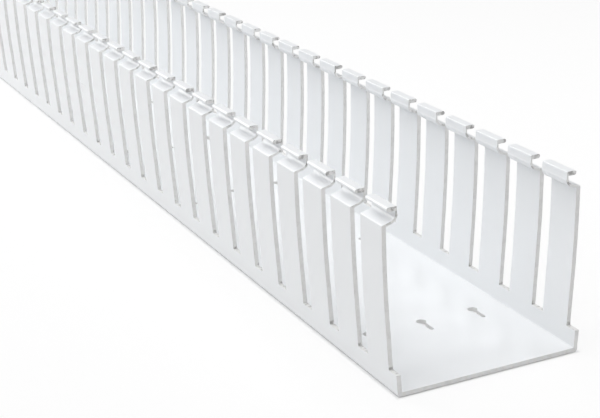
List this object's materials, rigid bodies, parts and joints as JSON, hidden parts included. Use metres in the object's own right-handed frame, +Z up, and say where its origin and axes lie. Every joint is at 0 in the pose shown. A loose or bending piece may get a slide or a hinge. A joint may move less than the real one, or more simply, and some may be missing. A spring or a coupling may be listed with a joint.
{
  "type": "slotted wire duct",
  "caption": "Straight slotted wiring duct without its cover: flat keyholed base, two finger walls with open slots and hooked lips for a clip-on cover.",
  "frame": {"origin": "middle of the length and width, on the underside of the base", "axes": "+X across the duct, +Y along it away from the sawn front end that starts 6 mm before a finger, +Z up out of the open side"},
  "size_m": [0.0912, 1, 0.0769],
  "materials": {
    "white_pvc": "smooth extruded rigid PVC, satin, slightly cool white"
  },
  "bodies": {
    "root": {"duct": "white_pvc"}
  },
  "joints": []
}
